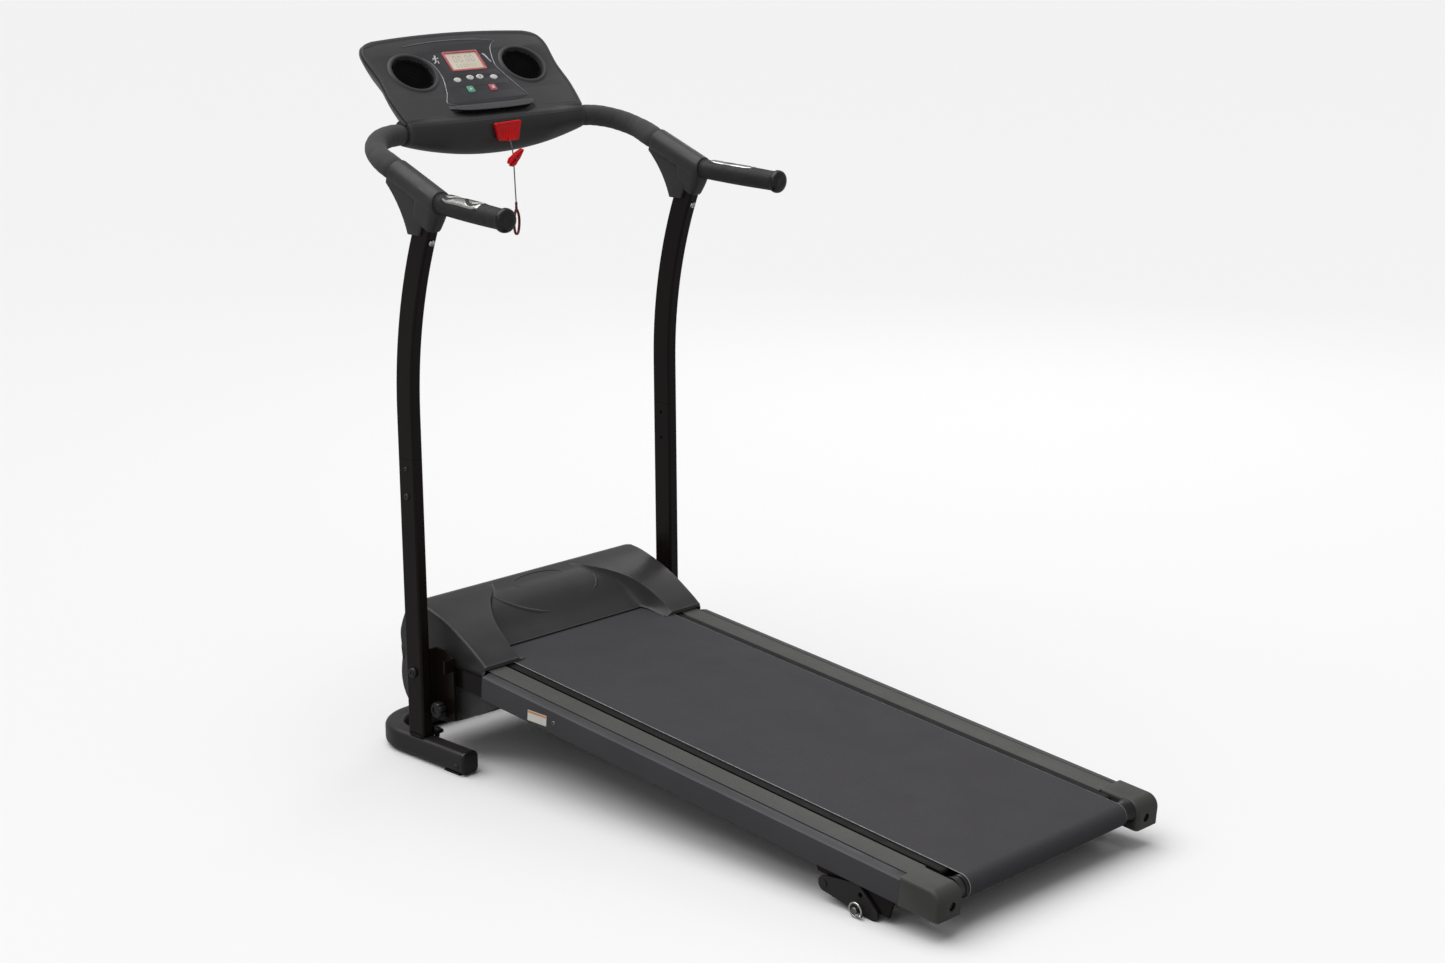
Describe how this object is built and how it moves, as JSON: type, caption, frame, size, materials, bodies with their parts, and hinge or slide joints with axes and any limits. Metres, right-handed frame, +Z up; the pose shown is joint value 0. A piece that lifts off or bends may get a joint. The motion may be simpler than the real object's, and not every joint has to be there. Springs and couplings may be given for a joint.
{
  "type": "folding treadmill",
  "caption": "Home treadmill: motor hood, running belt between foot rails, curved uprights with foam handrails, tilted console and a folding deck.",
  "frame": {"origin": "on the floor under the middle of the machine's footprint", "axes": "+X the user's right, +Y from the back of the deck to the console, +Z up"},
  "size_m": [0.6322, 1.3513, 1.168],
  "materials": {
    "black_steel": "gloss black paint",
    "bright_steel": "bright plated steel",
    "zinc_steel": "zinc-plated fasteners",
    "black_rubber": "matt black rubber",
    "foam": "closed-cell foam sleeve",
    "console_plastic": "fine-textured dark grey plastic",
    "shell_plastic": "fine-textured grey plastic",
    "hood_plastic": "satin dark grey plastic",
    "gloss_black": "gloss black plastic",
    "speaker_cloth": "black grille",
    "lcd_frame": "rose tinted bezel",
    "lcd_glass": "unlit display window",
    "white_key": "white button caps",
    "green_key": "green button cap",
    "red_key": "red button cap",
    "red_plastic": "gloss red plastic",
    "cord_grey": "grey lanyard cord",
    "dark_red": "dark red wrist loop and clip",
    "belt_rubber": "diamond-textured running belt",
    "board_wood": "waxed fibre board",
    "rail_plastic": "fine-textured grey rail",
    "cap_plastic": "satin grey end cap",
    "motor_steel": "black motor can",
    "board_green": "circuit board"
  },
  "bodies": {
    "base": {"base_tube": "black_steel", "base_end_caps": "gloss_black", "base_pads": "black_rubber", "wheel_axles": "zinc_steel", "lower_posts": "black_steel", "upper_posts": "black_steel", "frame_screws": "zinc_steel", "pivot_bolts": "bright_steel", "pivot_bushes": "gloss_black", "lock_bracket": "black_steel", "handlebar_tubes": "black_steel", "foam_sleeves": "foam", "shrouds": "gloss_black", "grips": "black_rubber", "grip_caps": "gloss_black", "pulse_plates": "bright_steel", "shroud_bolts": "bright_steel", "console_face": "console_plastic", "console_back": "shell_plastic", "console_housing": "console_plastic", "console_ledge": "console_plastic", "console_board": "board_green", "speaker_rings": "gloss_black", "speaker_grilles": "speaker_cloth", "lcd_bezel": "lcd_frame", "lcd_panel": "lcd_glass", "key_socket": "gloss_black"},
    "left_wheel": {"left_wheel": "gloss_black"},
    "right_wheel": {"right_wheel": "gloss_black"},
    "lock_knob": {"lock_knob": "gloss_black"},
    "mode_button": {"mode_button": "white_key"},
    "slower_button": {"slower_button": "white_key"},
    "faster_button": {"faster_button": "white_key"},
    "programme_button": {"programme_button": "white_key"},
    "start_button": {"start_button": "green_key"},
    "stop_button": {"stop_button": "red_key"},
    "safety_key": {"safety_key": "red_plastic", "lanyard_cord": "cord_grey", "lanyard_fittings": "dark_red"},
    "deck": {"deck_frame": "black_steel", "deck_board": "board_wood", "deck_cushions": "black_rubber", "running_belt": "belt_rubber", "foot_rails": "rail_plastic", "rear_caps": "cap_plastic", "roller_axles": "zinc_steel", "tension_bolts": "zinc_steel", "hood": "hood_plastic", "belly_pan": "hood_plastic", "power_socket": "gloss_black", "motor": "motor_steel", "drive_belt": "black_rubber", "controller": "board_green"},
    "front_roller": {"front_roller": "bright_steel"},
    "rear_roller": {"rear_roller": "bright_steel"},
    "motor_pulley": {"motor_pulley": "zinc_steel"},
    "rocker_switch": {"rocker_switch": "red_key"},
    "incline_leg": {"incline_leg": "black_steel"},
    "left_incline_pin": {"left_incline_pin": "bright_steel"},
    "right_incline_pin": {"right_incline_pin": "bright_steel"}
  },
  "joints": [
    {"name": "deck_fold", "type": "hinge", "parent": "base", "child": "deck", "pos_m": [0, 0.4235, 0.152], "axis": [-1, 0, 0], "range_deg": [0, 90]},
    {"name": "front_roller_spin", "type": "hinge", "parent": "deck", "child": "front_roller", "pos_m": [0, 0.39246, 0.16151], "axis": [1, 0, 0], "continuous": true},
    {"name": "rear_roller_spin", "type": "hinge", "parent": "deck", "child": "rear_roller", "pos_m": [0, -0.65183, 0.06224], "axis": [1, 0, 0], "continuous": true},
    {"name": "motor_spin", "type": "hinge", "parent": "deck", "child": "motor_pulley", "pos_m": [0, 0.45887, 0.18148], "axis": [1, 0, 0], "continuous": true},
    {"name": "left_wheel_spin", "type": "hinge", "parent": "base", "child": "left_wheel", "pos_m": [-0.15, 0.5895, 0.023], "axis": [1, 0, 0], "continuous": true},
    {"name": "right_wheel_spin", "type": "hinge", "parent": "base", "child": "right_wheel", "pos_m": [0.15, 0.5895, 0.023], "axis": [1, 0, 0], "continuous": true},
    {"name": "lock_knob_pull", "type": "slide", "parent": "base", "child": "lock_knob", "axis": [-1, 0, 0], "range_m": [-0.007, 0.008]},
    {"name": "mode_button_press", "type": "slide", "parent": "base", "child": "mode_button", "axis": [0, 0.7034, -0.7108], "range_m": [0, 0.0012], "stiffness_N_per_m": 400},
    {"name": "slower_button_press", "type": "slide", "parent": "base", "child": "slower_button", "axis": [0, 0.7034, -0.7108], "range_m": [0, 0.0012], "stiffness_N_per_m": 400},
    {"name": "faster_button_press", "type": "slide", "parent": "base", "child": "faster_button", "axis": [0, 0.7034, -0.7108], "range_m": [0, 0.0012], "stiffness_N_per_m": 400},
    {"name": "programme_button_press", "type": "slide", "parent": "base", "child": "programme_button", "axis": [0, 0.7034, -0.7108], "range_m": [0, 0.0012], "stiffness_N_per_m": 400},
    {"name": "start_button_press", "type": "slide", "parent": "base", "child": "start_button", "axis": [0, 0.7034, -0.7108], "range_m": [0, 0.0012], "stiffness_N_per_m": 400},
    {"name": "stop_button_press", "type": "slide", "parent": "base", "child": "stop_button", "axis": [0, 0.7034, -0.7108], "range_m": [0, 0.0012], "stiffness_N_per_m": 400},
    {"name": "safety_key_pull", "type": "slide", "parent": "base", "child": "safety_key", "axis": [0, -1, 0], "range_m": [0, 0.02]},
    {"name": "rocker_tilt", "type": "hinge", "parent": "deck", "child": "rocker_switch", "pos_m": [0.096, 0.50711, 0.11776], "axis": [1, 0, 0], "range_deg": [0, 20]},
    {"name": "incline_tilt", "type": "hinge", "parent": "deck", "child": "incline_leg", "pos_m": [0, -0.45952, 0.02999], "axis": [1, 0, 0], "range_deg": [0, 36]},
    {"name": "left_pin_pull", "type": "slide", "parent": "incline_leg", "child": "left_incline_pin", "axis": [-1, 0, 0], "range_m": [-0.0055, 0.006]},
    {"name": "right_pin_pull", "type": "slide", "parent": "incline_leg", "child": "right_incline_pin", "axis": [1, 0, 0], "range_m": [-0.0055, 0.006]}
  ],
  "couplings": [
    {"joint": "rear_roller_spin", "follows": "front_roller_spin", "ratio": 1},
    {"joint": "motor_spin", "follows": "front_roller_spin", "ratio": 3.1667}
  ]
}
